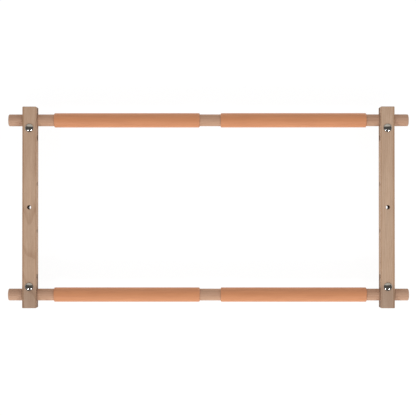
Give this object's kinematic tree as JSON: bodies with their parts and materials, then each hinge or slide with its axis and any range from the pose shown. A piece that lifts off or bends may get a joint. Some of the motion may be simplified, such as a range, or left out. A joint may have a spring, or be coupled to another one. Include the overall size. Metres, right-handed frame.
{
  "type": "rotating tapestry frame",
  "caption": "Rotating tapestry frame: wooden rollers with spring-on cloth clips turn in the split ends of square side arms and are locked by carriage bolts with wing nuts.",
  "frame": {"origin": "under the middle of the frame, on the surface that the four bolt ends stand on", "axes": "+X along the rollers to the right as seen from the front, +Y along the side arms to the top, +Z out of the front face"},
  "size_m": [0.6076, 0.305, 0.048],
  "materials": {
    "arm_beech": "planed beech, unvarnished, sanded smooth",
    "roller_beech": "turned beech dowel, unvarnished",
    "clip_plastic": "terracotta extruded plastic, matt",
    "bright_zinc": "bright zinc plate"
  },
  "bodies": {
    "left_side": {"left_arm": "arm_beech", "top_left_carriage_bolt": "bright_zinc", "bottom_left_carriage_bolt": "bright_zinc"},
    "right_side": {"right_arm": "arm_beech", "top_right_carriage_bolt": "bright_zinc", "bottom_right_carriage_bolt": "bright_zinc"},
    "top_roller": {"top_roller": "roller_beech"},
    "bottom_roller": {"bottom_roller": "roller_beech"},
    "top_left_clip": {"top_left_clip": "clip_plastic"},
    "top_right_clip": {"top_right_clip": "clip_plastic"},
    "bottom_left_clip": {"bottom_left_clip": "clip_plastic"},
    "bottom_right_clip": {"bottom_right_clip": "clip_plastic"},
    "top_left_washer": {"top_left_washer": "bright_zinc"},
    "top_left_wing_nut": {"top_left_wing_nut": "bright_zinc"},
    "top_right_washer": {"top_right_washer": "bright_zinc"},
    "top_right_wing_nut": {"top_right_wing_nut": "bright_zinc"},
    "bottom_left_washer": {"bottom_left_washer": "bright_zinc"},
    "bottom_left_wing_nut": {"bottom_left_wing_nut": "bright_zinc"},
    "bottom_right_washer": {"bottom_right_washer": "bright_zinc"},
    "bottom_right_wing_nut": {"bottom_right_wing_nut": "bright_zinc"}
  },
  "joints": [
    {"name": "top_roller_turn", "type": "hinge", "parent": "left_side", "child": "top_roller", "pos_m": [0, 0.1325, 0.0315], "axis": [1, 0, 0], "continuous": true},
    {"name": "bottom_roller_turn", "type": "hinge", "parent": "left_side", "child": "bottom_roller", "pos_m": [0, -0.1325, 0.0315], "axis": [1, 0, 0], "continuous": true},
    {"name": "right_arm_slide", "type": "slide", "parent": "left_side", "child": "right_side", "axis": [1, 0, 0], "range_m": [-0.014, 0.02]},
    {"name": "top_left_clip_slide", "type": "slide", "parent": "top_roller", "child": "top_left_clip", "axis": [1, 0, 0], "range_m": [-0.02, 0.014]},
    {"name": "top_right_clip_slide", "type": "slide", "parent": "top_roller", "child": "top_right_clip", "axis": [-1, 0, 0], "range_m": [-0.005, 0.014]},
    {"name": "bottom_left_clip_slide", "type": "slide", "parent": "bottom_roller", "child": "bottom_left_clip", "axis": [1, 0, 0], "range_m": [-0.02, 0.014]},
    {"name": "bottom_right_clip_slide", "type": "slide", "parent": "bottom_roller", "child": "bottom_right_clip", "axis": [-1, 0, 0], "range_m": [-0.005, 0.014]},
    {"name": "top_left_washer_travel", "type": "slide", "parent": "left_side", "child": "top_left_washer", "axis": [0, 0, -1], "range_m": [0, 0.0025]},
    {"name": "top_left_nut_turn", "type": "hinge", "parent": "top_left_washer", "child": "top_left_wing_nut", "pos_m": [-0.271, 0.1201, 0.0168], "axis": [0, 0, -1], "range_deg": [0, 1080]},
    {"name": "top_right_washer_travel", "type": "slide", "parent": "right_side", "child": "top_right_washer", "axis": [0, 0, -1], "range_m": [0, 0.0025]},
    {"name": "top_right_nut_turn", "type": "hinge", "parent": "top_right_washer", "child": "top_right_wing_nut", "pos_m": [0.271, 0.1201, 0.0168], "axis": [0, 0, -1], "range_deg": [0, 1080]},
    {"name": "bottom_left_washer_travel", "type": "slide", "parent": "left_side", "child": "bottom_left_washer", "axis": [0, 0, -1], "range_m": [0, 0.0025]},
    {"name": "bottom_left_nut_turn", "type": "hinge", "parent": "bottom_left_washer", "child": "bottom_left_wing_nut", "pos_m": [-0.271, -0.1201, 0.0168], "axis": [0, 0, -1], "range_deg": [0, 1080]},
    {"name": "bottom_right_washer_travel", "type": "slide", "parent": "right_side", "child": "bottom_right_washer", "axis": [0, 0, -1], "range_m": [0, 0.0025]},
    {"name": "bottom_right_nut_turn", "type": "hinge", "parent": "bottom_right_washer", "child": "bottom_right_wing_nut", "pos_m": [0.271, -0.1201, 0.0168], "axis": [0, 0, -1], "range_deg": [0, 1080]}
  ],
  "couplings": [
    {"joint": "top_left_washer_travel", "follows": "top_left_nut_turn", "m_per_rad": 0.00012732},
    {"joint": "top_right_washer_travel", "follows": "top_right_nut_turn", "m_per_rad": 0.00012732},
    {"joint": "bottom_left_washer_travel", "follows": "bottom_left_nut_turn", "m_per_rad": 0.00012732},
    {"joint": "bottom_right_washer_travel", "follows": "bottom_right_nut_turn", "m_per_rad": 0.00012732}
  ]
}
